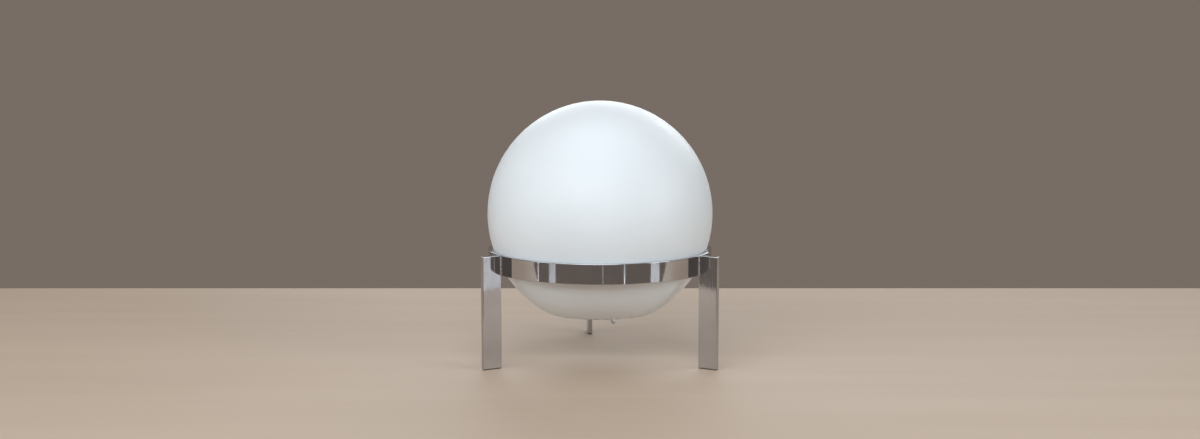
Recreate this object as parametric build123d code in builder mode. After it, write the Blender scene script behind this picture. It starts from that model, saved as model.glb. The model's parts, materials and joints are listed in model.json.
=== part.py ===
from build123d import *
import os
from math import cos, pi, radians, sin, sqrt, tan

os.makedirs("parts", exist_ok=True)

# Table lamp: an opal glass globe that stands in a ring on three flat legs.
# Millimetres, +Z up. The origin is on the table, in the middle of the lamp's footprint.

# Stand: one flat bar, rolled for the ring and cut to length for the legs
bar_width = 20.0
bar_thickness = 5.0
bar_edge_radius = 0.5
stand_height = 113.8
left_leg_angle = 210.0
right_leg_angle = 330.0
back_leg_angle = 95.5
pad_thickness = 1.0
pad_inset = 0.5

# Countersunk screws that hold the legs from inside the ring
leg_screw_radius = 1.5
leg_screw_length = 12.0
leg_screw_head_radius = 2.75
leg_screw_spacing = 10.0
leg_screw_sink = 0.2
leg_drill_margin = 0.5
countersink_angle = 90
slot_width = 0.8
slot_depth = 0.8

# Globe
globe_radius = 115.0
glass_wall = 3.0
mouth_radius = 52.0
rim_edge_radius = 0.8
seat_drop = 35.4
seat_clearance = 0.3

# Bottom plate and its gasket
plate_thickness = 1.0
plate_lap = 3.0
plate_step_rise = 1.5
plate_step_clearance = 1.4
plate_press_radius = 0.5
gasket_thickness = 0.5

# Bridge strap inside the globe, with a sleeve on each end
strap_width = 18.0
strap_thickness = 2.0
strap_rise = 3.6
strap_end_gap = 1.0
sleeve_wall = 1.0
sleeve_length = 12.0
sleeve_clearance = 0.1

# Hexagon nuts
nut_sides = 6
nut_face_margin = 0.35
nut_chamfer_angle = 30.0

# Threaded nipple, its nuts and the washer under the plate
nipple_radius = 5.0
nipple_bore_radius = 3.5
nipple_end = 1.0
nut_across_flats = 14.0
nut_height = 3.0
washer_radius = 9.0
washer_thickness = 1.0
hole_clearance = 0.15
thread_clearance = 0.02

# Lampholder bracket and its screws
bracket_width = 37.0
bracket_depth = 14.0
bracket_sheet = 1.5
bracket_rise = 12.0
bracket_flange = 9.0
bracket_bend_radius = 0.7
bracket_screw_spacing = 27.0
bracket_screw_radius = 1.5
bracket_screw_head_radius = 2.75
bracket_screw_head_height = 2.0
bracket_screw_length = 7.0

# Lampholder: ceramic body, brass thread sleeve, centre contact and terminals
holder_wall = 4.8
holder_height = 38.0
holder_floor = 9.0
holder_bore_clearance = 1.35
holder_edge_radius = 1.2
brass_sheet = 0.4
sleeve_floor_bore_radius = 6.0
contact_width = 5.0
contact_reach = 5.0
contact_height = 2.6
terminal_width = 7.0
terminal_length = 10.0
terminal_height = 5.0
terminal_arm_height = 2.0
terminal_offset = 12.0
stud_radius = 1.5
stud_offset = 10.0
terminal_screw_radius = 1.25
terminal_screw_head_radius = 2.3
terminal_screw_head_height = 1.8
terminal_screw_offset = 14.0
terminal_screw_depth = 1.6

# Bulb with a 27 mm screw cap
cap_crest_radius = 13.15
cap_root_radius = 12.2
cap_pitch = 3.63
cap_half_turns = 9
cap_skirt_radius = 13.5
cap_skirt_height = 4.5
cap_sheet = 0.4
cap_clearance = 0.3
tip_radius = 4.8
tip_height = 1.6
insulator_height = 4.9
insulator_radius = 11.0
bulb_radius = 30.0
bulb_length = 105.0
bulb_wall = 0.8
bulb_neck_radius = 14.5
bulb_neck_height = 4.0
bulb_foot_clearance = 0.1
bulb_foot_depth = 6.0
bulb_waist_angle = 35.0
stem_radius = 3.0
stem_height = 26.0
stem_clearance = 0.05
stem_flare_height = 3.0
support_radius = 0.35
support_spread = 9.0
support_root_spread = 1.6
filament_radius = 0.4
filament_rise = 3.0
filament_height = 48.0

# Toggle switch in the plate
switch_x = 6.55
switch_y = 30.0
switch_length = 22.0
switch_depth = 14.0
switch_height = 12.5
switch_corner_radius = 1.5
bushing_radius = 6.0
bushing_drop = 10.5
bushing_cavity_radius = 3.8
bushing_flare = 0.6
bushing_chamfer = 0.5
switch_nut_across_flats = 16.0
switch_nut_height = 2.5
pivot_depth = 2.5
pivot_pin_radius = 0.75
pivot_pin_inset = 0.5
pin_clearance = 0.05
lever_tilt = 32.0
lever_length = 14.0
lever_ball_radius = 2.1
lever_knuckle_radius = 2.6
lever_root_radius = 1.5
lever_neck_radius = 1.1
lever_tail_length = 3.6
lever_tail_radius = 1.0
cavity_headroom = 4.6
tab_width = 4.8
tab_thickness = 0.8
tab_height = 7.0
tab_spacing = 10.0

# Cord gland in the plate
gland_x = -16.0
gland_y = 30.0
gland_bore_radius = 3.4
gland_thread_radius = 5.9
gland_thread_length = 7.0
gland_flange_radius = 8.5
gland_flange_height = 2.2
gland_nose_radius = 5.0
gland_nose_height = 6.8
gland_nut_across_flats = 16.0
gland_nut_height = 3.0

# Lead from the switch to the lampholder
lead_radius = 1.1
lead_drop = 3.5
lead_straight = 4.5

# Radii and heights that follow from the sizes above
leg_angles = {"left": left_leg_angle, "right": right_leg_angle, "back": back_leg_angle}
seat_reach = globe_radius + seat_clearance + bar_edge_radius
ring_inner_radius = sqrt(seat_reach**2 - (seat_drop + bar_edge_radius) ** 2) - bar_edge_radius
ring_outer_radius = ring_inner_radius + bar_thickness
ring_middle = stand_height - bar_width / 2
axis_y = (globe_radius - ring_outer_radius - bar_width) / 2
globe_centre = stand_height + seat_drop
glass_inner_radius = globe_radius - glass_wall
rim_drop = sqrt(glass_inner_radius**2 - mouth_radius**2)
rim_height = globe_centre - rim_drop
rim_outer_radius = sqrt(globe_radius**2 - rim_drop**2)
flange_top = rim_height - gasket_thickness
flange_bottom = flange_top - plate_thickness
panel_top = flange_top + plate_step_rise
panel_bottom = panel_top - plate_thickness
flange_radius = mouth_radius + plate_lap
step_radius = mouth_radius - plate_step_clearance
strap_bottom = rim_height + strap_rise
strap_top = strap_bottom + strap_thickness
bracket_bottom = strap_top + nut_height
bracket_top = bracket_bottom + bracket_rise
holder_bottom = bracket_top
holder_floor_top = holder_bottom + holder_floor
tip_bottom = holder_floor_top + contact_height + cap_clearance
cap_bottom = tip_bottom + insulator_height
cap_thread_bottom = cap_bottom + (cap_root_radius - insulator_radius) / 2
cap_thread_top = cap_thread_bottom + cap_half_turns * cap_pitch / 2
cap_top = cap_thread_top + cap_skirt_height
holder_bore_radius = cap_crest_radius + cap_clearance + brass_sheet + holder_bore_clearance
holder_radius = holder_bore_radius + holder_wall
bulb_foot_radius = cap_root_radius - cap_sheet - bulb_foot_clearance
stem_flare_radius = bulb_foot_radius - bulb_wall - stem_clearance
bulb_top = tip_bottom + bulb_length
bulb_centre = bulb_top - bulb_radius
bushing_end = panel_bottom - bushing_drop
pivot_height = bushing_end + pivot_depth
pivot_pin_length = 2 * (bushing_radius - pivot_pin_inset)


def level(height, x=0.0, y=0.0):
    """Level plane at a height, with its origin x and y from the lamp's axis."""
    return Plane(origin=(x, axis_y + y, height))


def upright(x=0.0, y=0.0):
    """Upright plane for profiles: its x runs to the right and its y runs up."""
    return Plane(origin=(x, axis_y + y, 0), x_dir=(1, 0, 0), z_dir=(0, -1, 0))


def post(x=0.0, y=0.0):
    """Upright axis x and y from the lamp's axis."""
    return Axis((x, axis_y + y, 0), (0, 0, 1))


def leg_foot(angle, radius, height):
    """Level plane on a leg's middle line, with its x pointing away from the lamp's axis."""
    east, north = cos(radians(angle)), sin(radians(angle))
    return Plane(origin=(radius * east, axis_y + radius * north, height), x_dir=(east, north, 0))


def leg_screw_seats(angle):
    """Planes on the ring's inner face that look at the lamp's axis, one for each screw of a leg."""
    east, north = cos(radians(angle)), sin(radians(angle))
    radius = ring_inner_radius + leg_screw_sink
    heights = (ring_middle - leg_screw_spacing / 2, ring_middle + leg_screw_spacing / 2)
    return [
        Plane(
            origin=(radius * east, axis_y + radius * north, height),
            x_dir=(0, 0, 1),
            z_dir=(-east, -north, 0),
        )
        for height in heights
    ]


def nut_profile(bottom, height, across_flats):
    """Half profile that trims a hexagon nut, its corners cut back at both faces."""
    corner_radius = across_flats / 2 / cos(pi / nut_sides)
    face_radius = across_flats / 2 - nut_face_margin
    chamfer_height = (corner_radius - face_radius) * tan(radians(nut_chamfer_angle))
    return [
        (0, bottom),
        (face_radius, bottom),
        (corner_radius, bottom + chamfer_height),
        (corner_radius, bottom + height - chamfer_height),
        (face_radius, bottom + height),
        (0, bottom + height),
    ]


# Ring: the flat bar rolled on edge, countersunk inside for the leg screws
with BuildPart() as ring_band:
    with BuildSketch(upright()):
        with Locations((ring_inner_radius + bar_thickness / 2, ring_middle)):
            RectangleRounded(bar_thickness, bar_width, bar_edge_radius)
    revolve(axis=post())
    for angle in leg_angles.values():
        with Locations(*leg_screw_seats(angle)):
            CounterSinkHole(
                radius=leg_screw_radius + thread_clearance,
                counter_sink_radius=leg_screw_head_radius + thread_clearance,
                depth=bar_thickness,
                counter_sink_angle=countersink_angle,
            )
ring_band.part.label = "ring_band"
export_step(ring_band.part, "parts/ring_band.step")

# Legs: the same bar set radially, inner edge against the ring, top flush with it
for side, angle in leg_angles.items():
    with BuildPart() as leg:
        with BuildSketch(leg_foot(angle, ring_outer_radius, pad_thickness)):
            Rectangle(bar_width, bar_thickness, align=(Align.MIN, Align.CENTER))
        extrude(amount=stand_height - pad_thickness)
        fillet(leg.edges(), radius=bar_edge_radius)
        with Locations(*leg_screw_seats(angle)):
            Cylinder(
                leg_screw_radius + thread_clearance,
                leg_screw_length + leg_drill_margin,
                align=(Align.CENTER, Align.CENTER, Align.MAX),
                mode=Mode.SUBTRACT,
            )
    leg.part.label = f"leg_{side}"
    export_step(leg.part, f"parts/leg_{side}.step")

# Leg screws: slotted countersunk heads, just below the ring's inner face
with BuildPart() as leg_screws:
    for angle in leg_angles.values():
        with Locations(*leg_screw_seats(angle)):
            Cylinder(leg_screw_radius, leg_screw_length, align=(Align.CENTER, Align.CENTER, Align.MAX))
            Cone(
                bottom_radius=leg_screw_radius,
                top_radius=leg_screw_head_radius,
                height=leg_screw_head_radius - leg_screw_radius,
                align=(Align.CENTER, Align.CENTER, Align.MAX),
            )
            Box(
                2 * leg_screw_head_radius,
                slot_width,
                slot_depth,
                align=(Align.CENTER, Align.CENTER, Align.MAX),
                mode=Mode.SUBTRACT,
            )
leg_screws.part.label = "leg_screws"
export_step(leg_screws.part, "parts/leg_screws.step")

# Foot pads: thin felt under each leg
with BuildPart() as foot_pads:
    for angle in leg_angles.values():
        with BuildSketch(leg_foot(angle, ring_outer_radius + pad_inset, 0)):
            Rectangle(
                bar_width - 2 * pad_inset,
                bar_thickness - 2 * pad_inset,
                align=(Align.MIN, Align.CENTER),
            )
    extrude(amount=pad_thickness)
foot_pads.part.label = "foot_pads"
export_step(foot_pads.part, "parts/foot_pads.step")

# Globe: a blown sphere cut off flat, with a fire-polished rim
with BuildPart() as globe_glass:
    with BuildSketch(upright()):
        with BuildLine():
            ThreePointArc(
                (0, globe_centre + globe_radius),
                (globe_radius, globe_centre),
                (rim_outer_radius, rim_height),
            )
            Line((rim_outer_radius, rim_height), (mouth_radius, rim_height))
            ThreePointArc(
                (mouth_radius, rim_height),
                (glass_inner_radius, globe_centre),
                (0, globe_centre + glass_inner_radius),
            )
            Line((0, globe_centre + glass_inner_radius), (0, globe_centre + globe_radius))
        make_face()
        fillet(vertices().group_by(Axis.Y)[0], radius=rim_edge_radius)
    revolve(axis=post())
globe_glass.part.label = "globe_glass"
export_step(globe_glass.part, "parts/globe_glass.step")

# Gasket between the rim and the plate
with BuildPart() as rim_gasket:
    with BuildSketch(level(flange_top)):
        Circle(flange_radius)
        Circle(mouth_radius + rim_edge_radius, mode=Mode.SUBTRACT)
    extrude(amount=gasket_thickness)
rim_gasket.part.label = "rim_gasket"
export_step(rim_gasket.part, "parts/rim_gasket.step")

# Bottom plate: a pressed disc whose raised middle centres it in the mouth
with BuildPart() as bottom_plate:
    with BuildSketch(upright()):
        with BuildLine():
            Polyline(
                (0, panel_bottom),
                (step_radius - plate_thickness, panel_bottom),
                (step_radius - plate_thickness, flange_bottom),
                (flange_radius, flange_bottom),
                (flange_radius, flange_top),
                (step_radius, flange_top),
                (step_radius, panel_top),
                (0, panel_top),
                close=True,
            )
        make_face()
        corners = vertices().group_by(Axis.X)
        fillet(corners[1] + corners[2], radius=plate_press_radius)
    revolve(axis=post())
    with Locations(level(panel_top)):
        Hole(nipple_radius + hole_clearance)
    with Locations(level(panel_top, switch_x, switch_y)):
        Hole(bushing_radius + hole_clearance)
    with Locations(level(panel_top, gland_x, gland_y)):
        Hole(gland_thread_radius + hole_clearance)
bottom_plate.part.label = "bottom_plate"
export_step(bottom_plate.part, "parts/bottom_plate.step")

# Bridge strap: longer than the mouth is wide, so it bears on the glass beside the mouth
sleeve_bottom = strap_bottom - sleeve_wall
sleeve_half_width = strap_width / 2 + sleeve_wall
sleeve_glass_radius = sqrt(glass_inner_radius**2 - (globe_centre - sleeve_bottom) ** 2)
sleeve_reach = sqrt((sleeve_glass_radius - sleeve_clearance) ** 2 - sleeve_half_width**2)
strap_reach = sleeve_reach - strap_end_gap
with BuildPart() as bridge_strap:
    with BuildSketch(level(strap_bottom)):
        Rectangle(2 * strap_reach, strap_width)
        Circle(nipple_radius + hole_clearance, mode=Mode.SUBTRACT)
    extrude(amount=strap_thickness)
bridge_strap.part.label = "bridge_strap"
export_step(bridge_strap.part, "parts/bridge_strap.step")

# Strap sleeves: soft caps on the strap's ends, resting on the inside of the glass
with BuildPart() as strap_sleeves:
    with BuildSketch(level(sleeve_bottom)):
        with Locations((sleeve_reach - sleeve_length / 2, 0), (sleeve_length / 2 - sleeve_reach, 0)):
            Rectangle(sleeve_length, 2 * sleeve_half_width)
    extrude(amount=strap_thickness + 2 * sleeve_wall)
    with BuildSketch(level(strap_bottom)):
        Rectangle(2 * strap_reach, strap_width)
    extrude(amount=strap_thickness, mode=Mode.SUBTRACT)
strap_sleeves.part.label = "strap_sleeves"
export_step(strap_sleeves.part, "parts/strap_sleeves.step")

# Nipple: threaded tube that clamps plate and strap on the glass and carries the lampholder
washer_bottom = panel_bottom - washer_thickness
plate_nut_bottom = washer_bottom - nut_height
bracket_nut_bottom = bracket_bottom + bracket_sheet
nipple_bottom = plate_nut_bottom - nipple_end
nipple_top = bracket_nut_bottom + nut_height + nipple_end
with BuildPart() as nipple:
    with BuildSketch(level(nipple_bottom)):
        Circle(nipple_radius)
        Circle(nipple_bore_radius, mode=Mode.SUBTRACT)
    extrude(amount=nipple_top - nipple_bottom)
nipple.part.label = "nipple"
export_step(nipple.part, "parts/nipple.step")

# Nuts: under the plate, on the strap and in the bracket
with BuildPart() as nipple_nuts:
    with BuildSketch(upright()):
        for height in (plate_nut_bottom, strap_top, bracket_nut_bottom):
            with BuildLine():
                Polyline(*nut_profile(height, nut_height, nut_across_flats), close=True)
            make_face()
    revolve(axis=post())
    with BuildSketch(level(nipple_bottom)):
        RegularPolygon(radius=nut_across_flats / 2, side_count=nut_sides, major_radius=False)
        Circle(nipple_radius + thread_clearance, mode=Mode.SUBTRACT)
    extrude(amount=nipple_top - nipple_bottom, mode=Mode.INTERSECT)
nipple_nuts.part.label = "nipple_nuts"
export_step(nipple_nuts.part, "parts/nipple_nuts.step")

# Washer between the plate and the lowest nut
with BuildPart() as plate_washer:
    with BuildSketch(level(washer_bottom)):
        Circle(washer_radius)
        Circle(nipple_radius + hole_clearance, mode=Mode.SUBTRACT)
    extrude(amount=washer_thickness)
plate_washer.part.label = "plate_washer"
export_step(plate_washer.part, "parts/plate_washer.step")

# Lampholder bracket: a folded strip, its flanges turned in under the ceramic body
bracket_half = bracket_width / 2
flange_inner = bracket_half - bracket_flange
with BuildPart() as holder_bracket:
    with BuildSketch(upright()):
        with BuildLine():
            Polyline(
                (-bracket_half, bracket_bottom),
                (bracket_half, bracket_bottom),
                (bracket_half, bracket_top),
                (flange_inner, bracket_top),
                (flange_inner, bracket_top - bracket_sheet),
                (bracket_half - bracket_sheet, bracket_top - bracket_sheet),
                (bracket_half - bracket_sheet, bracket_bottom + bracket_sheet),
                (bracket_sheet - bracket_half, bracket_bottom + bracket_sheet),
                (bracket_sheet - bracket_half, bracket_top - bracket_sheet),
                (-flange_inner, bracket_top - bracket_sheet),
                (-flange_inner, bracket_top),
                (-bracket_half, bracket_top),
                close=True,
            )
        make_face()
        corners = vertices().group_by(Axis.X)
        fillet(corners[1] + corners[-2], radius=bracket_bend_radius)
        fillet(corners[0] + corners[-1], radius=bracket_bend_radius + bracket_sheet)
    extrude(amount=bracket_depth / 2, both=True)
    with BuildSketch(level(bracket_bottom)):
        Circle(nipple_radius + hole_clearance)
    extrude(amount=bracket_sheet, mode=Mode.SUBTRACT)
    with BuildSketch(level(bracket_top)):
        with GridLocations(bracket_screw_spacing, 0, 2, 1):
            Circle(bracket_screw_radius + hole_clearance)
    extrude(amount=-bracket_sheet, mode=Mode.SUBTRACT)
holder_bracket.part.label = "holder_bracket"
export_step(holder_bracket.part, "parts/holder_bracket.step")


def bracket_screw_seats():
    """Planes under the bracket's flanges that look down, one for each screw."""
    return [
        Plane(origin=(x, axis_y, bracket_top - bracket_sheet), x_dir=(1, 0, 0), z_dir=(0, 0, -1))
        for x in (-bracket_screw_spacing / 2, bracket_screw_spacing / 2)
    ]


# Screws from the bracket up into the ceramic body
with BuildPart() as bracket_screws:
    with Locations(*bracket_screw_seats()):
        Cylinder(
            bracket_screw_head_radius,
            bracket_screw_head_height,
            align=(Align.CENTER, Align.CENTER, Align.MIN),
        )
        Cylinder(bracket_screw_radius, bracket_screw_length, align=(Align.CENTER, Align.CENTER, Align.MAX))
    slot_floor = bracket_top - bracket_sheet - bracket_screw_head_height
    with BuildSketch(level(slot_floor)):
        with GridLocations(bracket_screw_spacing, 0, 2, 1):
            Rectangle(slot_width, 2 * bracket_screw_head_radius)
    extrude(amount=slot_depth, mode=Mode.SUBTRACT)
bracket_screws.part.label = "bracket_screws"
export_step(bracket_screws.part, "parts/bracket_screws.step")

# Lampholder body: glazed ceramic cup with a thick floor
with BuildPart() as lampholder_body:
    with BuildSketch(upright()):
        with BuildLine():
            Polyline(
                (0, holder_bottom),
                (holder_radius, holder_bottom),
                (holder_radius, holder_bottom + holder_height),
                (holder_bore_radius, holder_bottom + holder_height),
                (holder_bore_radius, holder_floor_top),
                (0, holder_floor_top),
                close=True,
            )
        make_face()
        fillet(vertices().group_by(Axis.X)[-1], radius=holder_edge_radius)
    revolve(axis=post())
    with BuildSketch(level(holder_bottom)):
        Circle(stud_radius + thread_clearance)
        with Locations((0, stud_offset)):
            Circle(stud_radius + thread_clearance)
    extrude(amount=holder_floor, mode=Mode.SUBTRACT)
    with Locations(*bracket_screw_seats()):
        Cylinder(
            bracket_screw_radius + thread_clearance,
            bracket_screw_length + bracket_sheet,
            align=(Align.CENTER, Align.CENTER, Align.MAX),
            mode=Mode.SUBTRACT,
        )
lampholder_body.part.label = "lampholder_body"
export_step(lampholder_body.part, "parts/lampholder_body.step")


def thread_wave(first, last, inset):
    """Points up one side of the rolled screw thread, from half turn first to last, moved out by inset."""
    points = []
    for step in range(first, last + 1):
        radius = cap_crest_radius if step % 2 else cap_root_radius
        points.append((radius + inset, cap_thread_bottom + step * cap_pitch / 2))
    return points


# Brass sleeve that the bulb screws into, its floor ring on the ceramic floor
sleeve_first = -int((cap_thread_bottom - holder_floor_top - brass_sheet) / (cap_pitch / 2))
sleeve_last = cap_half_turns - 1
with BuildPart() as lampholder_sleeve:
    with BuildSketch(upright()):
        outer_wave = thread_wave(sleeve_first, sleeve_last, cap_clearance + brass_sheet)
        inner_wave = thread_wave(sleeve_first, sleeve_last, cap_clearance)
        with BuildLine():
            Polyline(
                (sleeve_floor_bore_radius, holder_floor_top),
                (outer_wave[0][0], holder_floor_top),
                *outer_wave,
                *reversed(inner_wave),
                (inner_wave[0][0], holder_floor_top + brass_sheet),
                (sleeve_floor_bore_radius, holder_floor_top + brass_sheet),
                close=True,
            )
        make_face()
    revolve(axis=post())
lampholder_sleeve.part.label = "lampholder_sleeve"
export_step(lampholder_sleeve.part, "parts/lampholder_sleeve.step")

# Centre contact: a brass strip folded back over itself, just under the bulb's tip
contact_top = holder_floor_top + contact_height
with BuildPart() as centre_contact:
    with BuildSketch(upright()):
        with BuildLine():
            Polyline(
                (-contact_reach, holder_floor_top),
                (contact_reach, holder_floor_top),
                (contact_reach, contact_top),
                (brass_sheet - contact_reach, contact_top),
                (brass_sheet - contact_reach, contact_top - brass_sheet),
                (contact_reach - brass_sheet, contact_top - brass_sheet),
                (contact_reach - brass_sheet, holder_floor_top + brass_sheet),
                (-contact_reach, holder_floor_top + brass_sheet),
                close=True,
            )
        make_face()
    extrude(amount=contact_width / 2, both=True)
centre_contact.part.label = "centre_contact"
export_step(centre_contact.part, "parts/centre_contact.step")

# Terminals: a block and stud for the sleeve, and a block with an arm and stud for the centre contact
terminal_bottom = holder_bottom - terminal_height
with BuildPart() as holder_terminals:
    with BuildSketch(level(terminal_bottom)):
        with Locations((0, terminal_offset), (0, -terminal_offset)):
            Rectangle(terminal_width, terminal_length)
    extrude(amount=terminal_height)
    with BuildSketch(level(holder_bottom - terminal_arm_height)):
        with Locations((0, -terminal_offset)):
            Rectangle(terminal_width, terminal_offset + 2 * stud_radius, align=(Align.CENTER, Align.MIN))
    extrude(amount=terminal_arm_height)
    with BuildSketch(level(holder_bottom)):
        Circle(stud_radius)
        with Locations((0, stud_offset)):
            Circle(stud_radius)
    extrude(amount=holder_floor)
    with BuildSketch(level(terminal_bottom)):
        with Locations((0, terminal_screw_offset), (0, -terminal_screw_offset)):
            Circle(terminal_screw_radius + thread_clearance)
    extrude(amount=terminal_screw_depth, mode=Mode.SUBTRACT)
holder_terminals.part.label = "holder_terminals"
export_step(holder_terminals.part, "parts/holder_terminals.step")

# Terminal screws, driven from below
with BuildPart() as terminal_screws:
    with BuildSketch(level(terminal_bottom - terminal_screw_head_height)):
        with Locations((0, terminal_screw_offset), (0, -terminal_screw_offset)):
            Circle(terminal_screw_head_radius)
    extrude(amount=terminal_screw_head_height)
    with BuildSketch(level(terminal_bottom)):
        with Locations((0, terminal_screw_offset), (0, -terminal_screw_offset)):
            Circle(terminal_screw_radius)
    extrude(amount=terminal_screw_depth)
    with BuildSketch(level(terminal_bottom - terminal_screw_head_height)):
        with Locations((0, terminal_screw_offset), (0, -terminal_screw_offset)):
            Rectangle(2 * terminal_screw_head_radius, slot_width)
    extrude(amount=slot_depth, mode=Mode.SUBTRACT)
terminal_screws.part.label = "terminal_screws"
export_step(terminal_screws.part, "parts/terminal_screws.step")

# Switch body: closed moulded box on the plate
with BuildPart() as switch_body:
    with BuildSketch(level(panel_top, switch_x, switch_y)):
        RectangleRounded(switch_length, switch_depth, switch_corner_radius)
    extrude(amount=switch_height)
    fillet(switch_body.faces().sort_by(Axis.Z)[-1].edges(), radius=switch_corner_radius / 2)
switch_body.part.label = "switch_body"
export_step(switch_body.part, "parts/switch_body.step")

# Switch terminals: two tabs on top of the body
with BuildPart() as switch_terminals:
    with BuildSketch(level(panel_top + switch_height, switch_x, switch_y)):
        with GridLocations(tab_spacing, 0, 2, 1):
            Rectangle(tab_width, tab_thickness)
    extrude(amount=tab_height)
switch_terminals.part.label = "switch_terminals"
export_step(switch_terminals.part, "parts/switch_terminals.step")

# Pivot: level axis through the bushing, across the lever
pivot = Plane(origin=(switch_x, axis_y + switch_y, pivot_height), x_dir=(1, 0, 0), z_dir=(0, 1, 0))

# Switch bushing: threaded collar through the plate, hollow at the lower end for the lever
with BuildPart() as switch_bushing:
    with BuildSketch(upright(switch_x, switch_y)):
        with BuildLine():
            Polyline(
                (0, panel_top),
                (bushing_radius, panel_top),
                (bushing_radius, bushing_end + bushing_chamfer),
                (bushing_radius - bushing_chamfer, bushing_end),
                (bushing_cavity_radius + bushing_flare, bushing_end),
                (bushing_cavity_radius, bushing_end + bushing_flare),
                (bushing_cavity_radius, pivot_height + cavity_headroom),
                (0, pivot_height + cavity_headroom),
                close=True,
            )
        make_face()
    revolve(axis=post(switch_x, switch_y))
    with Locations(pivot):
        Cylinder(pivot_pin_radius + thread_clearance, 2 * bushing_radius, mode=Mode.SUBTRACT)
switch_bushing.part.label = "switch_bushing"
export_step(switch_bushing.part, "parts/switch_bushing.step")

# Switch nut under the plate
switch_nut_bottom = panel_bottom - switch_nut_height
with BuildPart() as switch_nut:
    with BuildSketch(upright(switch_x, switch_y)):
        with BuildLine():
            Polyline(*nut_profile(switch_nut_bottom, switch_nut_height, switch_nut_across_flats), close=True)
        make_face()
    revolve(axis=post(switch_x, switch_y))
    with BuildSketch(level(switch_nut_bottom, switch_x, switch_y)):
        RegularPolygon(radius=switch_nut_across_flats / 2, side_count=nut_sides, major_radius=False)
        Circle(bushing_radius + thread_clearance, mode=Mode.SUBTRACT)
    extrude(amount=switch_nut_height, mode=Mode.INTERSECT)
switch_nut.part.label = "switch_nut"
export_step(switch_nut.part, "parts/switch_nut.step")

# Pivot pin, held in the bushing's wall
with BuildPart() as pivot_pin:
    with Locations(pivot):
        Cylinder(pivot_pin_radius, pivot_pin_length)
pivot_pin.part.label = "pivot_pin"
export_step(pivot_pin.part, "parts/pivot_pin.step")

# Lever: turned in one piece with its knuckle and ball, leaning to the right at rest
lever_lean = radians(lever_tilt)
lever_plane = Plane(origin=pivot.origin, x_dir=(cos(lever_lean), 0, sin(lever_lean)), z_dir=(0, -1, 0))
with BuildPart() as switch_lever:
    with BuildSketch(lever_plane):
        with BuildLine():
            Polyline(
                (0, lever_tail_length),
                (lever_tail_radius, lever_tail_length),
                (lever_tail_radius, 0),
                (lever_root_radius, 0),
                (lever_root_radius, -lever_knuckle_radius),
                (lever_neck_radius, -lever_length),
                (0, -lever_length),
                close=True,
            )
        make_face()
    revolve(axis=Axis(pivot.origin, lever_plane.y_dir))
    with Locations(pivot.origin):
        Sphere(lever_knuckle_radius)
    with Locations(pivot.origin - lever_plane.y_dir * lever_length):
        Sphere(lever_ball_radius)
    with Locations(pivot):
        Cylinder(pivot_pin_radius + pin_clearance, pivot_pin_length, mode=Mode.SUBTRACT)
switch_lever.part.label = "switch_lever"
export_step(switch_lever.part, "parts/switch_lever.step")

# Cord gland: moulded sleeve with a tapered nose below the plate and a thread above it
with BuildPart() as cord_gland:
    with BuildSketch(upright(gland_x, gland_y)):
        with BuildLine():
            Polyline(
                (gland_bore_radius, panel_bottom + gland_thread_length),
                (gland_thread_radius, panel_bottom + gland_thread_length),
                (gland_thread_radius, panel_bottom),
                (gland_flange_radius, panel_bottom),
                (gland_flange_radius, panel_bottom - gland_flange_height),
                (gland_nose_radius, panel_bottom - gland_flange_height - gland_nose_height),
                (gland_bore_radius, panel_bottom - gland_flange_height - gland_nose_height),
                close=True,
            )
        make_face()
    revolve(axis=post(gland_x, gland_y))
cord_gland.part.label = "cord_gland"
export_step(cord_gland.part, "parts/cord_gland.step")

# Gland nut on top of the plate
with BuildPart() as gland_nut:
    with BuildSketch(upright(gland_x, gland_y)):
        with BuildLine():
            Polyline(*nut_profile(panel_top, gland_nut_height, gland_nut_across_flats), close=True)
        make_face()
    revolve(axis=post(gland_x, gland_y))
    with BuildSketch(level(panel_top, gland_x, gland_y)):
        RegularPolygon(radius=gland_nut_across_flats / 2, side_count=nut_sides, major_radius=False)
        Circle(gland_thread_radius + thread_clearance, mode=Mode.SUBTRACT)
    extrude(amount=gland_nut_height, mode=Mode.INTERSECT)
gland_nut.part.label = "gland_nut"
export_step(gland_nut.part, "parts/gland_nut.step")

# Lead: from the left switch tab to the nearer lampholder terminal, level and straight at both ends
lead_tab_y = switch_y - tab_thickness / 2
lead_end_y = terminal_offset + terminal_length / 2
lead_tab_x = switch_x - tab_spacing / 2
lead_tab_height = panel_top + switch_height + tab_height - lead_drop
lead_end_height = holder_bottom - terminal_height / 2
with BuildPart() as switch_lead:
    with BuildLine():
        FilletPolyline(
            (lead_tab_x, axis_y + lead_tab_y, lead_tab_height),
            (lead_tab_x, axis_y + lead_tab_y - lead_straight, lead_tab_height),
            (0, axis_y + lead_end_y + lead_straight, lead_end_height),
            (0, axis_y + lead_end_y, lead_end_height),
            radius=2 * lead_straight,
        )
    with BuildSketch(Plane(origin=(lead_tab_x, axis_y + lead_tab_y, lead_tab_height), z_dir=(0, -1, 0))):
        Circle(lead_radius)
    sweep()
switch_lead.part.label = "switch_lead"
export_step(switch_lead.part, "parts/switch_lead.step")

# Bulb envelope: round bulb, waist and a neck cemented into the cap
waist = radians(bulb_waist_angle)
neck_height = cap_top + bulb_neck_height
foot_height = cap_top - bulb_foot_depth


def envelope_points(inset):
    """Top, equator, waist, neck and foot of the envelope's profile, moved in by inset."""
    radius = bulb_radius - inset
    return (
        (0, bulb_centre + radius),
        (radius, bulb_centre),
        (radius * cos(waist), bulb_centre - radius * sin(waist)),
        (bulb_neck_radius - inset, neck_height),
        (bulb_foot_radius - inset, cap_top),
        (bulb_foot_radius - inset, foot_height),
    )


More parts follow.
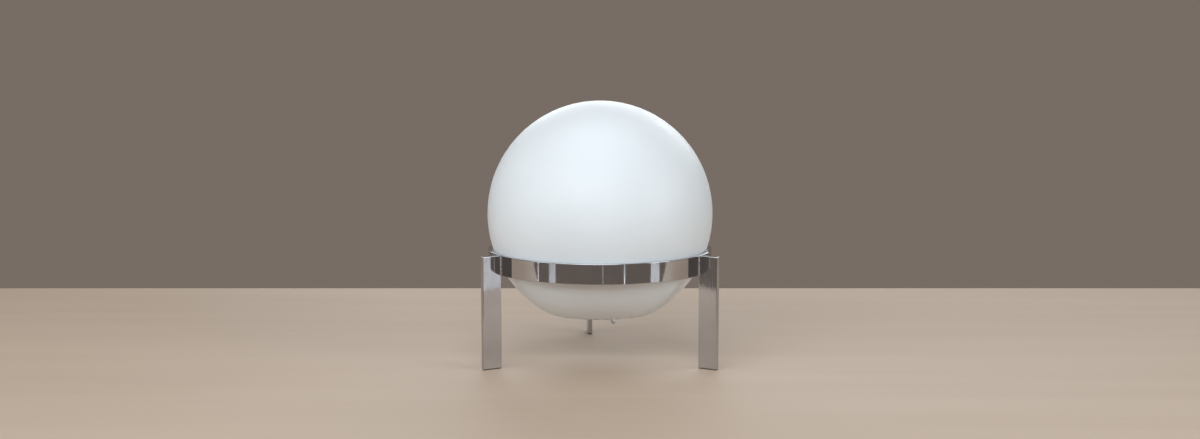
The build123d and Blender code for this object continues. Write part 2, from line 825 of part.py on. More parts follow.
with BuildPart() as bulb_glass:
    with BuildSketch(upright()):
        top_out, side_out, waist_out, neck_out, throat_out, foot_out = envelope_points(0)
        top_in, side_in, waist_in, neck_in, throat_in, foot_in = envelope_points(bulb_wall)
        with BuildLine():
            ThreePointArc(top_out, side_out, waist_out)
            TangentArc(waist_out, neck_out, tangent=(-sin(waist), -cos(waist)))
            Polyline(neck_out, throat_out, foot_out, foot_in, throat_in, neck_in)
            TangentArc(waist_in, neck_in, tangent=(-sin(waist), -cos(waist)))
            ThreePointArc(waist_in, side_in, top_in)
            Line(top_in, top_out)
        make_face()
    revolve(axis=post())
bulb_glass.part.label = "bulb_glass"
export_step(bulb_glass.part, "parts/bulb_glass.step")

# Screw cap: thin rolled thread with a plain skirt round the neck
with BuildPart() as bulb_cap:
    with BuildSketch(upright()):
        cap_out = thread_wave(0, cap_half_turns, 0)
        cap_in = thread_wave(0, cap_half_turns, -cap_sheet)
        skirt_bottom = cap_thread_top + cap_sheet
        with BuildLine():
            Polyline(
                (insulator_radius, cap_bottom),
                *cap_out,
                (cap_skirt_radius, skirt_bottom),
                (cap_skirt_radius, cap_top),
                (cap_skirt_radius - cap_sheet, cap_top),
                (cap_skirt_radius - cap_sheet, skirt_bottom + cap_sheet),
                *reversed(cap_in),
                (insulator_radius, cap_bottom + cap_sheet),
                close=True,
            )
        make_face()
    revolve(axis=post())
bulb_cap.part.label = "bulb_cap"
export_step(bulb_cap.part, "parts/bulb_cap.step")

# Insulator: black glass cone between the cap and the tip
with BuildPart() as bulb_insulator:
    with BuildSketch(upright()):
        with BuildLine():
            Polyline(
                (0, tip_bottom + tip_height),
                (tip_radius, tip_bottom + tip_height),
                (insulator_radius, cap_bottom),
                (insulator_radius, cap_thread_bottom),
                (0, cap_thread_bottom),
                close=True,
            )
        make_face()
    revolve(axis=post())
bulb_insulator.part.label = "bulb_insulator"
export_step(bulb_insulator.part, "parts/bulb_insulator.step")

# Tip contact: a low button
with BuildPart() as bulb_contact:
    with BuildSketch(level(tip_bottom)):
        Circle(tip_radius)
    extrude(amount=tip_height)
    fillet(bulb_contact.edges().sort_by(Axis.Z)[0], radius=tip_height / 2)
bulb_contact.part.label = "bulb_contact"
export_step(bulb_contact.part, "parts/bulb_contact.step")

# Stem: glass post on a flare that closes the neck
stem_top = cap_top + stem_height
with BuildPart() as bulb_stem:
    with BuildSketch(upright()):
        with BuildLine():
            Polyline(
                (0, foot_height),
                (stem_flare_radius, foot_height),
                (stem_flare_radius, foot_height + stem_flare_height / 2),
                (stem_radius, foot_height + 2 * stem_flare_height),
                (stem_radius, stem_top),
                (0, stem_top),
                close=True,
            )
        make_face()
    revolve(axis=post())
bulb_stem.part.label = "bulb_stem"
export_step(bulb_stem.part, "parts/bulb_stem.step")

# Supports: two wires from the stem's top out to the filament's ends
filament_end = cap_top + filament_height
with BuildPart() as bulb_supports:
    for side in (-1, 1):
        root = Vector(side * support_root_spread, axis_y, stem_top + support_radius)
        hook = Vector(side * support_spread, axis_y, filament_end - filament_radius)
        with BuildSketch(Plane(origin=root, z_dir=hook - root)):
            Circle(support_radius)
        extrude(amount=(hook - root).length)
bulb_supports.part.label = "bulb_supports"
export_step(bulb_supports.part, "parts/bulb_supports.step")

# Filament: a fine bow between the supports
with BuildPart() as bulb_filament:
    with BuildLine():
        bow = ThreePointArc(
            (-support_spread, axis_y, filament_end),
            (0, axis_y, filament_end + filament_rise),
            (support_spread, axis_y, filament_end),
        )
    with BuildSketch(Plane(origin=bow @ 0, z_dir=bow % 0)):
        Circle(filament_radius)
    sweep()
bulb_filament.part.label = "bulb_filament"
export_step(bulb_filament.part, "parts/bulb_filament.step")
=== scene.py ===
import json
from math import atan2, ceil, cos, hypot, pi, radians, sin

import bmesh
import bpy
from mathutils import Matrix, Vector


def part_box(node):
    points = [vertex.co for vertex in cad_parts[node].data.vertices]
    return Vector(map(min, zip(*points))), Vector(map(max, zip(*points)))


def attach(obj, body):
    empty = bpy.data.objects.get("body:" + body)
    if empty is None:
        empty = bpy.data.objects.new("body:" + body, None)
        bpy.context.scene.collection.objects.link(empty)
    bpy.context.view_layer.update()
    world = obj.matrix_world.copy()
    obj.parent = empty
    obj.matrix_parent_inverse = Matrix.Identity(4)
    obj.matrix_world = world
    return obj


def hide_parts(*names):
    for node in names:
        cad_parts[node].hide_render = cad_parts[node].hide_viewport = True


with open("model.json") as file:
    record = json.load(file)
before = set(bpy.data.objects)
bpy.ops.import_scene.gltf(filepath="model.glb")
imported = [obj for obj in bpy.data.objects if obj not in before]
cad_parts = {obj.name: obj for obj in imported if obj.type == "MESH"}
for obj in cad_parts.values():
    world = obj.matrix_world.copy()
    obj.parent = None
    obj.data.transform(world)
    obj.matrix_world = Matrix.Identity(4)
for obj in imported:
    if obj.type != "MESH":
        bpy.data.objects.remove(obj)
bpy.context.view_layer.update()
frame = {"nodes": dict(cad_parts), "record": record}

nodes = frame["nodes"]
ringLow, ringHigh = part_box("ring_band")
ringRadius = (ringHigh.x - ringLow.x) / 2
axis = Vector(((ringLow.x + ringHigh.x) / 2, (ringLow.y + ringHigh.y) / 2, 0))
legs = ("leg_left", "leg_right", "leg_back")

# focal length in pixels of a picture this wide, place from the lamp's axis, degrees that it looks down
camera = {
    "focalPixels": 1588.9,
    "imageWidth": 1200,
    "sensor": 36.0,
    "fromAxis": (0.0, -1.6161, 0.3462),
    "pitch": 7.18,
    "nearClip": 0.01,
}


def makeCamera():
    data = bpy.data.cameras.new("camera")
    data.sensor_width = camera["sensor"]
    data.lens = camera["focalPixels"] / camera["imageWidth"] * camera["sensor"]
    data.clip_start = camera["nearClip"]
    eye = bpy.data.objects.new("camera", data)
    eye.location = axis + Vector(camera["fromAxis"])
    eye.rotation_euler = (radians(90 - camera["pitch"]), 0, 0)
    bpy.context.scene.collection.objects.link(eye)
    bpy.context.scene.camera = eye


# place and target from the lamp's axis, width and height, brightness as a mirror shows it
softboxes = {
    "overhead": {"place": (-0.1, -0.2, 1.6), "target": (0, 0, 0.1), "size": (1.0, 1.0), "brightness": 1.5},
    "window": {"place": (-0.5, -1.9, 1.35), "target": (0, 0, 0.15), "size": (2.6, 1.0), "brightness": 4.25},
    "left": {"place": (-1.65, -0.9, 0.7), "target": (0, 0, 0.14), "size": (0.7, 0.7), "brightness": 5.3},
    "right": {"place": (1.65, -0.9, 0.7), "target": (0, 0, 0.14), "size": (0.8, 0.8), "brightness": 6.2},
    "rear": {"place": (0.3, 2.0, 1.05), "target": (0, 0, 0.12), "size": (2.4, 0.8), "brightness": 4.0},
}
daylight = (0.885, 0.95, 1.0)
room = {"colour": (0.185, 0.152, 0.13, 1), "strength": 1.0}

# a wide panel seen only in rounded chrome: the bar's edges and the lever's ball
edgeGlow = {"place": (-0.1, -2.5, 0.4), "target": (0, 0, 0.1), "size": (2.2, 0.5), "brightness": 3.0}

# narrow panels that stand low in front, seen only as the upright streaks that a bright bar mirrors
streakPanel = {"distance": 2.5, "low": -0.4, "high": -0.24}
streaks = {
    "farLeft": {"turn": -63.6, "width": 0.03, "brightness": 1.6},
    "left": {"turn": -47.9, "width": 0.3, "brightness": 0.6},
    "middle": {"turn": 2.7, "width": 0.03, "brightness": 0.4},
    "right": {"turn": 24.1, "width": 0.035, "brightness": 1.6},
    "farRight": {"turn": 56.1, "width": 0.42, "brightness": 0.7},
}


def makeLamp(name, lamp, glossOnly):
    width, height = lamp["size"]
    data = bpy.data.lights.new(name, "AREA")
    data.shape = "RECTANGLE"
    data.size = width
    data.size_y = height
    data.energy = lamp["brightness"] * pi * width * height
    data.color = daylight
    box = bpy.data.objects.new(name, data)
    place = Vector(lamp["place"])
    box.location = axis + place
    box.rotation_euler = (Vector(lamp["target"]) - place).to_track_quat("-Z", "Y").to_euler()
    box.visible_camera = False
    box.visible_diffuse = not glossOnly
    bpy.context.scene.collection.objects.link(box)


def streakLamp(streak):
    turn = radians(streak["turn"])
    reach = streakPanel["distance"]
    middle = (streakPanel["high"] + streakPanel["low"]) / 2
    return {
        "place": (reach * sin(turn), -reach * cos(turn), middle),
        "target": (0, 0, middle),
        "size": (streak["width"], streakPanel["high"] - streakPanel["low"]),
        "brightness": streak["brightness"],
    }


def makeLight():
    world = bpy.data.worlds.new("room")
    world.use_nodes = True
    background = world.node_tree.nodes["Background"]
    background.inputs["Color"].default_value = room["colour"]
    background.inputs["Strength"].default_value = room["strength"]
    bpy.context.scene.world = world
    for name, lamp in softboxes.items():
        makeLamp(name, lamp, glossOnly=False)
    makeLamp("edgeGlow", edgeGlow, glossOnly=True)
    for name, streak in streaks.items():
        makeLamp(name + "Streak", streakLamp(streak), glossOnly=True)


colourSockets = {"first": 6, "second": 7, "result": 2}  # a Mix node's sockets for colours


def newMaterial(name, look):
    mat = bpy.data.materials.new(name)
    mat.use_nodes = True
    shader = mat.node_tree.nodes["Principled BSDF"]
    for socket, value in look.items():
        shader.inputs[socket].default_value = value
    return mat, shader


def addNode(mat, kind, inputs):
    node = mat.node_tree.nodes.new("ShaderNode" + kind)
    for socket, value in inputs.items():
        node.inputs[socket].default_value = value
    return node


def objectPoint(mat, stretch=(1, 1, 1)):
    coords = mat.node_tree.nodes.new("ShaderNodeTexCoord")
    mapping = addNode(mat, "Mapping", {"Scale": stretch})
    mat.node_tree.links.new(coords.outputs["Object"], mapping.inputs["Vector"])
    return mapping.outputs["Vector"]


def noise(mat, scale, detail, stretch=(1, 1, 1)):
    field = addNode(mat, "TexNoise", {"Scale": scale, "Detail": detail})
    mat.node_tree.links.new(objectPoint(mat, stretch), field.inputs["Vector"])
    return field.outputs["Fac"]


def specks(mat, scale):
    field = addNode(mat, "TexVoronoi", {"Scale": scale})
    mat.node_tree.links.new(objectPoint(mat), field.inputs["Vector"])
    return field.outputs["Distance"]


def spread(mat, field, fromRange, toRange):
    span = addNode(mat, "MapRange", {"From Min": fromRange[0], "From Max": fromRange[1],
                                     "To Min": toRange[0], "To Max": toRange[1]})
    mat.node_tree.links.new(field, span.inputs["Value"])
    return span.outputs["Result"]


def combine(mat, operation, first, second):
    node = addNode(mat, "Math", {})
    node.operation = operation
    mat.node_tree.links.new(first, node.inputs[0])
    mat.node_tree.links.new(second, node.inputs[1])
    return node.outputs["Value"]


def tint(mat, shader, field, dark, light, fromRange=(0.3, 0.7)):
    mix = addNode(mat, "Mix", {})
    mix.data_type = "RGBA"
    mix.inputs[colourSockets["first"]].default_value = dark
    mix.inputs[colourSockets["second"]].default_value = light
    mat.node_tree.links.new(spread(mat, field, fromRange, (0, 1)), mix.inputs["Factor"])
    mat.node_tree.links.new(mix.outputs[colourSockets["result"]], shader.inputs["Base Color"])


def gloss(mat, shader, field, low, high, fromRange=(0.3, 0.7)):
    mat.node_tree.links.new(spread(mat, field, fromRange, (low, high)), shader.inputs["Roughness"])


def relief(mat, shader, field, depth, strength=1.0):
    bump = addNode(mat, "Bump", {"Distance": depth, "Strength": strength})
    mat.node_tree.links.new(field, bump.inputs["Height"])
    mat.node_tree.links.new(bump.outputs["Normal"], shader.inputs["Normal"])


def opalGlass():
    mat, shader = newMaterial("opalGlass", {"Subsurface Weight": 0.25, "Subsurface Radius": (1, 1, 1),
                                            "Subsurface Scale": 0.008, "IOR": 1.48})
    tint(mat, shader, noise(mat, scale=9, detail=2),
         dark=(0.82, 0.88, 0.915, 1), light=(0.845, 0.90, 0.935, 1))
    gloss(mat, shader, noise(mat, scale=60, detail=5), low=0.42, high=0.52)
    relief(mat, shader, noise(mat, scale=18, detail=2), depth=0.00015, strength=0.25)
    return mat


# chrome on polished bar: faint clouding, hairlines along and across, and a few pinhead pits
def chrome():
    mat, shader = newMaterial("polishedChrome", {"Metallic": 1})
    tint(mat, shader, noise(mat, scale=35, detail=5),
         dark=(0.51, 0.51, 0.53, 1), light=(0.57, 0.575, 0.60, 1))
    hairlines = combine(mat, "MULTIPLY", noise(mat, scale=260, detail=5, stretch=(1, 1, 8)),
                        noise(mat, scale=90, detail=4, stretch=(6, 6, 1)))
    pits = spread(mat, specks(mat, scale=140), fromRange=(0.02, 0.05), toRange=(0.25, 0))
    cloud = spread(mat, hairlines, fromRange=(0.15, 0.4), toRange=(0.025, 0.11))
    mat.node_tree.links.new(combine(mat, "MAXIMUM", cloud, pits), shader.inputs["Roughness"])
    relief(mat, shader, hairlines, depth=0.00002, strength=0.2)
    return mat


def felt():
    mat, shader = newMaterial("felt", {"Sheen Weight": 0.5, "Sheen Roughness": 0.6})
    tint(mat, shader, noise(mat, scale=1500, detail=6),
         dark=(0.02, 0.018, 0.016, 1), light=(0.075, 0.068, 0.06, 1))
    gloss(mat, shader, noise(mat, scale=900, detail=3), low=0.9, high=1.0)
    relief(mat, shader, noise(mat, scale=2200, detail=6, stretch=(1, 1, 3)), depth=0.0003)
    return mat


def rubber():
    mat, shader = newMaterial("rubber", {"Specular IOR Level": 0.35})
    tint(mat, shader, noise(mat, scale=160, detail=5),
         dark=(0.025, 0.025, 0.026, 1), light=(0.055, 0.054, 0.052, 1))
    gloss(mat, shader, noise(mat, scale=400, detail=4), low=0.55, high=0.78)
    relief(mat, shader, noise(mat, scale=1200, detail=5), depth=0.00006)
    return mat


# bright zinc: a fine grain, with a cold and a warm cast side by side
def platedSteel():
    mat, shader = newMaterial("platedSteel", {"Metallic": 1})
    tint(mat, shader, noise(mat, scale=45, detail=4),
         dark=(0.50, 0.53, 0.56, 1), light=(0.64, 0.62, 0.57, 1))
    gloss(mat, shader, noise(mat, scale=500, detail=6), low=0.2, high=0.38)
    relief(mat, shader, noise(mat, scale=1400, detail=6), depth=0.00002, strength=0.6)
    return mat


# the darker, tarnished patches are the duller ones
def brass():
    mat, shader = newMaterial("brass", {"Metallic": 1})
    tint(mat, shader, noise(mat, scale=110, detail=6),
         dark=(0.42, 0.28, 0.12, 1), light=(0.74, 0.56, 0.28, 1), fromRange=(0.3, 0.55))
    gloss(mat, shader, noise(mat, scale=110, detail=6), low=0.42, high=0.2)
    relief(mat, shader, noise(mat, scale=900, detail=5), depth=0.00002, strength=0.5)
    return mat


def capMetal():
    mat, shader = newMaterial("capMetal", {"Metallic": 1})
    tint(mat, shader, noise(mat, scale=140, detail=5),
         dark=(0.56, 0.56, 0.54, 1), light=(0.74, 0.74, 0.73, 1))
    gloss(mat, shader, noise(mat, scale=300, detail=5, stretch=(1, 1, 6)), low=0.22, high=0.4)
    relief(mat, shader, noise(mat, scale=800, detail=5, stretch=(1, 1, 6)), depth=0.00002, strength=0.6)
    return mat


def porcelain():
    mat, shader = newMaterial("porcelain", {"Coat Weight": 0.7, "Coat Roughness": 0.06})
    tint(mat, shader, specks(mat, scale=260),
         dark=(0.62, 0.58, 0.50, 1), light=(0.84, 0.83, 0.79, 1), fromRange=(0.0, 0.12))
    gloss(mat, shader, noise(mat, scale=50, detail=3), low=0.25, high=0.4)
    relief(mat, shader, noise(mat, scale=70, detail=3), depth=0.00008, strength=0.4)
    return mat


def mouldedPlastic(name, dark, light, rough, grain):
    mat, shader = newMaterial(name, {})
    tint(mat, shader, noise(mat, scale=180, detail=5), dark, light)
    gloss(mat, shader, noise(mat, scale=350, detail=4), *rough)
    relief(mat, shader, noise(mat, scale=grain, detail=4), depth=0.00004, strength=0.5)
    return mat


def clearGlass():
    mat, shader = newMaterial("clearGlass", {"Transmission Weight": 1, "IOR": 1.5})
    tint(mat, shader, noise(mat, scale=30, detail=2),
         dark=(0.95, 0.965, 0.96, 1), light=(0.99, 0.995, 0.99, 1))
    gloss(mat, shader, noise(mat, scale=40, detail=3), low=0.0, high=0.03)
    relief(mat, shader, noise(mat, scale=60, detail=2), depth=0.00004, strength=0.2)
    return mat


def blackGlass():
    mat, shader = newMaterial("blackGlass", {"IOR": 1.55})
    tint(mat, shader, noise(mat, scale=200, detail=4),
         dark=(0.006, 0.006, 0.008, 1), light=(0.03, 0.028, 0.034, 1))
    gloss(mat, shader, noise(mat, scale=120, detail=4), low=0.06, high=0.16)
    relief(mat, shader, noise(mat, scale=150, detail=3), depth=0.00006, strength=0.5)
    return mat


def drawnWire():
    mat, shader = newMaterial("drawnWire", {"Metallic": 1})
    tint(mat, shader, noise(mat, scale=900, detail=4),
         dark=(0.14, 0.14, 0.15, 1), light=(0.32, 0.32, 0.33, 1))
    gloss(mat, shader, noise(mat, scale=1500, detail=4), low=0.3, high=0.5)
    relief(mat, shader, noise(mat, scale=3000, detail=3), depth=0.00001)
    return mat


plastics = {
    "switch_plastic": {"name": "switchPlastic", "dark": (0.018, 0.017, 0.016, 1),
                       "light": (0.045, 0.042, 0.04, 1), "rough": (0.22, 0.36), "grain": 900},
    "gland_plastic": {"name": "glandPlastic", "dark": (0.022, 0.022, 0.023, 1),
                      "light": (0.05, 0.05, 0.05, 1), "rough": (0.42, 0.6), "grain": 1600},
    "lead_cover": {"name": "leadCover", "dark": (0.055, 0.046, 0.04, 1),
                   "light": (0.10, 0.088, 0.078, 1), "rough": (0.36, 0.5), "grain": 600},
}


# one finish for each material slot, put on every node of the frame
def makeFinishes():
    finishes = {
        "opal_glass": opalGlass(),
        "chrome": chrome(),
        "felt": felt(),
        "rubber": rubber(),
        "plated_steel": platedSteel(),
        "brass": brass(),
        "porcelain": porcelain(),
        "bulb_envelope": clearGlass(),
        "cap_metal": capMetal(),
        "black_glass": blackGlass(),
        "filament_metal": drawnWire(),
    }
    for slot, plastic in plastics.items():
        finishes[slot] = mouldedPlastic(**plastic)
    for row in frame["record"]["subparts"]:
        mesh = nodes[row["node"]].data
        mesh.materials.clear()
        mesh.materials.append(finishes[row["material_slot"]])
    return finishes


def newObject(name, bm):
    mesh = bpy.data.meshes.new(name)
    bm.to_mesh(mesh)
    bm.free()
    obj = bpy.data.objects.new(name, mesh)
    bpy.context.scene.collection.objects.link(obj)
    return obj


# the table ends just below the picture's lower edge, and behind the lamp where it does in the picture
table = {
    "front": -0.336,
    "back": 0.42,
    "halfWidth": 1.5,
    "thickness": 0.03,
    "edge": 0.002,
    "light": (0.545, 0.435, 0.34, 1),
    "dark": (0.515, 0.405, 0.315, 1),
}


def makeTable():
    bm = bmesh.new()
    bmesh.ops.create_cube(bm, size=1)
    depth = table["back"] - table["front"]
    bmesh.ops.scale(bm, vec=(2 * table["halfWidth"], depth, table["thickness"]), verts=bm.verts)
    middle = axis + Vector((0, (table["back"] + table["front"]) / 2, -table["thickness"] / 2))
    bmesh.ops.translate(bm, vec=middle, verts=bm.verts)
    bmesh.ops.bevel(bm, geom=bm.edges, offset=table["edge"], segments=3, profile=0.5,
                    affect="EDGES", material=-1)
    top = newObject("tableTop", bm)
    mat, shader = newMaterial("paleTable", {"Roughness": 0.6, "Specular IOR Level": 0.1})
    grain = noise(mat, scale=3, detail=5, stretch=(0.4, 6, 1))
    tint(mat, shader, grain, table["dark"], table["light"])
    top.data.materials.append(mat)


mergeDistance = 1e-6  # points closer than this are one
sharpAngle = 40  # degrees, past which an edge stays crisp


def slotOf(node):
    return next(row["material_slot"] for row in frame["record"]["subparts"] if row["node"] == node)


# a piece that replaces a node takes its slot, and any other names its own
def addPiece(name, bm, body, centre, node=None, slot=None):
    slot = slot or slotOf(node)
    bmesh.ops.remove_doubles(bm, verts=bm.verts, dist=mergeDistance)
    bmesh.ops.recalc_face_normals(bm, faces=bm.faces)
    bmesh.ops.translate(bm, vec=centre, verts=bm.verts)
    piece = newObject(name, bm)
    piece.data.shade_smooth()
    piece.data.set_sharp_from_angle(angle=radians(sharpAngle))
    piece.data.materials.append(finishes[slot])
    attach(piece, body)
    if node:
        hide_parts(node)


def edgesOf(verts):
    return list(dict.fromkeys(edge for vert in verts for edge in vert.link_edges))


def hoop(bm, radius, height, steps):
    made = bmesh.ops.create_circle(bm, cap_ends=False, radius=radius, segments=steps,
                                   matrix=Matrix.Translation((0, 0, height)))
    return edgesOf(made["verts"])


# the trim leaves points up to the merge distance off its plane
def rimAt(bm, height):
    return [edge for edge in bm.edges
            if edge.is_boundary and all(abs(vert.co.z - height) < 2 * mergeDistance for vert in edge.verts)]


# bridging can twist two loops that lie in one plane, so a level ring is filled instead
def fillBetween(bm, edges):
    bmesh.ops.triangle_fill(bm, use_beauty=True, use_dissolve=False, edges=edges, normal=(0, 0, 1))


# a tooth is listed by its share of the pitch and its share of the depth
cutTooth = ((0.05, 0), (0.45, 1), (0.55, 1), (0.95, 0))
rolledSteps = 8
rolledTooth = tuple((step / rolledSteps, 0.5 - 0.5 * cos(2 * pi * step / rolledSteps))
                    for step in range(rolledSteps))
spareTurns = 2  # turns of thread past each end, which the trim takes off


# a column of teeth goes once around and climbs one pitch, so it ends on its own start, one tooth higher,
# and the two are merged; then both ends are trimmed level and cut back at 45 degrees
def threadWall(bm, thread, low, high):
    pitch, root, crest, steps = (thread[key] for key in ("pitch", "root", "crest", "steps"))
    verts = []
    for turn in range(-spareTurns, ceil((high - low) / pitch) + spareTurns):
        for along, out in thread["tooth"]:
            verts.append(bm.verts.new((root + (crest - root) * out, 0, low + (turn + along) * pitch)))
    edges = [bm.edges.new(pair) for pair in zip(verts, verts[1:])]
    bmesh.ops.spin(bm, geom=verts + edges, cent=(0, 0, 0), axis=(0, 0, 1), angle=2 * pi, steps=steps,
                   dvec=(0, 0, pitch / steps), use_merge=False)
    bmesh.ops.remove_doubles(bm, verts=bm.verts, dist=mergeDistance)
    for height, side in ((low, -1), (high, 1)):
        bmesh.ops.bisect_plane(bm, geom=bm.verts[:] + bm.edges[:] + bm.faces[:], dist=mergeDistance,
                               plane_co=(0, 0, height), plane_no=(0, 0, side), clear_outer=True)
    for vert in bm.verts:
        radius = hypot(vert.co.x, vert.co.y)
        limit = root + min(vert.co.z - low, high - vert.co.z)
        if radius > limit:
            vert.co.x *= limit / radius
            vert.co.y *= limit / radius
    return rimAt(bm, low), rimAt(bm, high)


nippleThread = {"pitch": 0.001, "root": 0.00445, "crest": 0.005, "steps": 40, "tooth": cutTooth}
nippleBore = 0.0035


def makeNipple():
    low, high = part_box("nipple")
    bm = bmesh.new()
    bottom, top = threadWall(bm, nippleThread, low.z, high.z)
    steps = nippleThread["steps"]
    boreBottom = hoop(bm, nippleBore, low.z, steps)
    boreTop = hoop(bm, nippleBore, high.z, steps)
    fillBetween(bm, bottom + boreBottom)
    fillBetween(bm, top + boreTop)
    bmesh.ops.bridge_loops(bm, edges=boreBottom + boreTop)
    addPiece("threadedNipple", bm, "globe", axis, node="nipple")


bushingThread = {"pitch": 0.00075, "root": 0.00552, "crest": 0.006, "steps": 48, "tooth": cutTooth}
bushingCavity = {"mouth": 0.0044, "radius": 0.0038, "flare": 0.0006, "depth": 0.0071}


# the lever's pivot sits in the cavity, which is open below
def makeBushing():
    low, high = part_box("switch_bushing")
    middle = (low + high) / 2
    bm = bmesh.new()
    bottom, top = threadWall(bm, bushingThread, low.z, high.z)
    steps = bushingThread["steps"]
    mouth = hoop(bm, bushingCavity["mouth"], low.z, steps)
    throat = hoop(bm, bushingCavity["radius"], low.z + bushingCavity["flare"], steps)
    end = hoop(bm, bushingCavity["radius"], low.z + bushingCavity["depth"], steps)
    fillBetween(bm, bottom + mouth)
    bmesh.ops.bridge_loops(bm, edges=mouth + throat)
    bmesh.ops.bridge_loops(bm, edges=throat + end)
    bmesh.ops.edgeloop_fill(bm, edges=end)
    bmesh.ops.edgeloop_fill(bm, edges=top)
    addPiece("threadedBushing", bm, "globe", (middle.x, middle.y, 0), node="switch_bushing")


glandNose = {"bore": 0.0034, "shoulder": 0.0074, "tip": 0.005, "ribs": 4, "groove": 0.0008, "edge": 0.0003}
glandGroove = ((0.45, 0), (0.4, 1), (0.1, 1), (0.05, 0))  # share of a rib below its top, share of the depth
glandFlange = {"radius": 0.0085, "height": 0.0022, "flutes": 36, "fluteDepth": 0.0004}
glandThread = {"root": 0.0053, "crest": 0.0059, "pitch": 0.00125, "height": 0.007}


# the flexible nose, with a groove near the top of each rib
def nosePoints(low, high):
    bore, tip, edge = (glandNose[key] for key in ("bore", "tip", "edge"))
    points = [(bore, low), (tip - edge, low), (tip, low + edge)]
    rise = (high - low) / glandNose["ribs"]
    for rib in range(1, glandNose["ribs"] + 1):
        radius = tip + (glandNose["shoulder"] - tip) * rib / glandNose["ribs"] - edge
        top = low + rise * rib
        points += [(radius - glandNose["groove"] * deep, top - rise * below) for below, deep in glandGroove]
    return points


def flangePoints(low, high):
    radius, edge = glandFlange["radius"], glandNose["edge"]
    return [(glandNose["shoulder"], low), (radius - edge, low), (radius, low + edge),
            (radius, high - edge), (radius - edge, high)]


# the thread above the plate, as plain ridges
def ridgePoints(low, high):
    pitch, root, crest = (glandThread[key] for key in ("pitch", "root", "crest"))
    points = [(root, low)]
    for ridge in range(int(glandThread["height"] / pitch)):
        points += [(root + (crest - root) * out, low + (ridge + along) * pitch) for along, out in cutTooth]
    return points + [(root, high), (glandNose["bore"], high)]


# every second point around the flange is drawn in, which leaves flutes to grip
def cutFlutes(bm):
    flutes, radius = glandFlange["flutes"], glandFlange["radius"]
    hollows = [vert for vert in bm.verts
               if hypot(vert.co.x, vert.co.y) > radius - glandNose["edge"] / 2
               and round(atan2(vert.co.y, vert.co.x) / pi * flutes) % 2]
    shrink = 1 - glandFlange["fluteDepth"] / radius
    bmesh.ops.scale(bm, vec=(shrink, shrink, 1), verts=hollows)


def makeGland():
    low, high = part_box("cord_gland")
    middle = (low + high) / 2
    plate = high.z - glandThread["height"]
    flangeLow = plate - glandFlange["height"]
    points = nosePoints(low.z, flangeLow) + flangePoints(flangeLow, plate) + ridgePoints(plate, high.z)
    bm = bmesh.new()
    verts = [bm.verts.new((radius, 0, height)) for radius, height in points]
    edges = [bm.edges.new(pair) for pair in zip(verts, verts[1:] + verts[:1])]
    bmesh.ops.spin(bm, geom=verts + edges, cent=(0, 0, 0), axis=(0, 0, 1), angle=2 * pi,
                   steps=2 * glandFlange["flutes"], use_merge=True)
    cutFlutes(bm)
    addPiece("ribbedGland", bm, "globe", (middle.x, middle.y, 0), node="cord_gland")


rolledThread = {"pitch": 0.00363, "root": 0.0122, "crest": 0.01315, "steps": 48, "tooth": rolledTooth}
capShell = {"sheet": 0.0004, "lip": 0.011, "lipRise": 0.0006, "threadHeight": 0.016335,
            "skirt": 0.0135, "skirtHeight": 0.0041}


# the cap is one wall, from the lip over the thread to the skirt, and then gets its thickness
def makeBulbCap():
    low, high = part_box("bulb_cap")
    threadLow = low.z + capShell["lipRise"]
    steps = rolledThread["steps"]
    bm = bmesh.new()
    bottom, top = threadWall(bm, rolledThread, threadLow, threadLow + capShell["threadHeight"])
    lip = hoop(bm, capShell["lip"], low.z, steps)
    shoulder = hoop(bm, capShell["skirt"], high.z - capShell["skirtHeight"], steps)
    rim = hoop(bm, capShell["skirt"], high.z, steps)
    for pair in (bottom + lip, top + shoulder, shoulder + rim):
        bmesh.ops.bridge_loops(bm, edges=pair)
    bmesh.ops.recalc_face_normals(bm, faces=bm.faces)
    bmesh.ops.solidify(bm, geom=bm.faces[:], thickness=capShell["sheet"])
    addPiece("rolledBulbCap", bm, "bulb", axis, node="bulb_cap")


coil = {"wire": 0.00009, "wireSides": 6, "radius": 0.00031, "pitch": 0.0004, "stepsPerTurn": 12,
        "rise": 0.003, "endInset": 0.00024}


# the coil is wound straight up, then laid along the bow between the supports
def makeFilament():
    low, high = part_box("bulb_filament")
    halfSpan = (high.x - low.x) / 2 - coil["endInset"]
    bowRadius = (halfSpan ** 2 + coil["rise"] ** 2) / (2 * coil["rise"])
    halfTurn = atan2(halfSpan, bowRadius - coil["rise"])
    length = 2 * bowRadius * halfTurn
    turns = int(length / coil["pitch"])
    steps = turns * coil["stepsPerTurn"]
    bm = bmesh.new()
    facing = Matrix.Translation((coil["radius"], 0, 0)) @ Matrix.Rotation(pi / 2, 4, "X")
    wire = bmesh.ops.create_circle(bm, cap_ends=True, radius=coil["wire"], segments=coil["wireSides"],
                                   matrix=facing)["verts"]
    bmesh.ops.spin(bm, geom=wire + edgesOf(wire) + bm.faces[:], cent=(0, 0, 0), axis=(0, 0, 1),
                   angle=2 * pi * turns, steps=steps, dvec=(0, 0, length / steps), use_merge=False)
    bowCentre = high.z - coil["wire"] - coil["radius"] - bowRadius
    for vert in bm.verts:
        turn = (vert.co.z / length - 0.5) * 2 * halfTurn
        reach = bowRadius + vert.co.x
        vert.co = (reach * sin(turn), vert.co.y, bowCentre + reach * cos(turn))
    addPiece("coiledFilament", bm, "bulb", axis, node="bulb_filament")


def turnTo(leg):
    low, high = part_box(leg)
    out = (low + high) / 2 - axis
    return Matrix.Rotation(atan2(out.y, out.x), 3, "Z")


pad = {"inset": 0.0005, "length": 0.019, "width": 0.004, "softEdge": 0.0003}


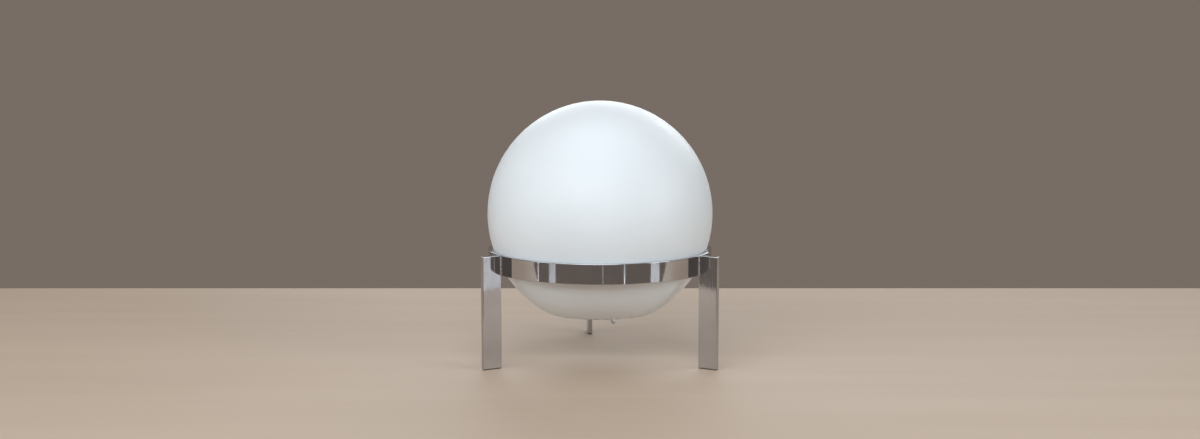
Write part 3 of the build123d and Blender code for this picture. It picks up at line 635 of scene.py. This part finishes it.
def makePads():
    low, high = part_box("foot_pads")
    middle = Vector((ringRadius + pad["inset"] + pad["length"] / 2, 0, (low.z + high.z) / 2))
    bm = bmesh.new()
    for leg in legs:
        block = bmesh.ops.create_cube(bm, size=1)["verts"]
        bmesh.ops.scale(bm, vec=(pad["length"], pad["width"], high.z - low.z), verts=block)
        bmesh.ops.translate(bm, vec=middle, verts=block)
        bmesh.ops.rotate(bm, cent=(0, 0, 0), matrix=turnTo(leg), verts=block)
    bmesh.ops.bevel(bm, geom=bm.edges, offset=pad["softEdge"], segments=3, profile=0.5, affect="EDGES",
                    material=-1)
    addPiece("feltPads", bm, "stand", axis, node="foot_pads")


bead = {"radius": 0.0013, "sunk": 0.0006, "steps": 6, "halfLeg": 0.0025, "ends": 0.0003}


# the corner lies inside the leg and the ring, and the hollow arc runs from the leg to the ring
def beadSection(side):
    radius, sunk, halfLeg = (bead[key] for key in ("radius", "sunk", "halfLeg"))
    points = [(ringRadius - sunk, side * (halfLeg - sunk))]
    for step in range(bead["steps"] + 1):
        turn = step / bead["steps"] * pi / 2
        points.append((ringRadius + radius * (1 - sin(turn)), side * (halfLeg + radius * (1 - cos(turn)))))
    return points


# a bead in the corner on each side of a leg, over the height of the ring
def makeBeads():
    low = ringLow.z + bead["ends"]
    height = ringHigh.z - bead["ends"] - low
    bm = bmesh.new()
    for leg in legs:
        for side in (1, -1):
            bottom = [bm.verts.new((x, y, low)) for x, y in beadSection(side)]
            grown = bmesh.ops.extrude_face_region(bm, geom=[bm.faces.new(bottom)])["geom"]
            top = [item for item in grown if isinstance(item, bmesh.types.BMVert)]
            bmesh.ops.translate(bm, vec=(0, 0, height), verts=top)
            bmesh.ops.rotate(bm, cent=(0, 0, 0), matrix=turnTo(leg), verts=bottom + top)
    addPiece("seamBeads", bm, "stand", axis, slot="plated_steel")


makeCamera()
makeTable()
makeLight()
print("stage: table, camera and", len(bpy.data.lights), "lamps")
finishes = makeFinishes()
print("finishes:", ", ".join(finishes))
makeNipple()
makeBushing()
makeGland()
print("pieces under the globe: nipple, bushing and gland")
makeBulbCap()
makeFilament()
print("bulb: cap and filament")
makePads()
makeBeads()
print("stand: felt pads and the beads along the seams")

bpy.context.scene.view_settings.view_transform = "Standard"
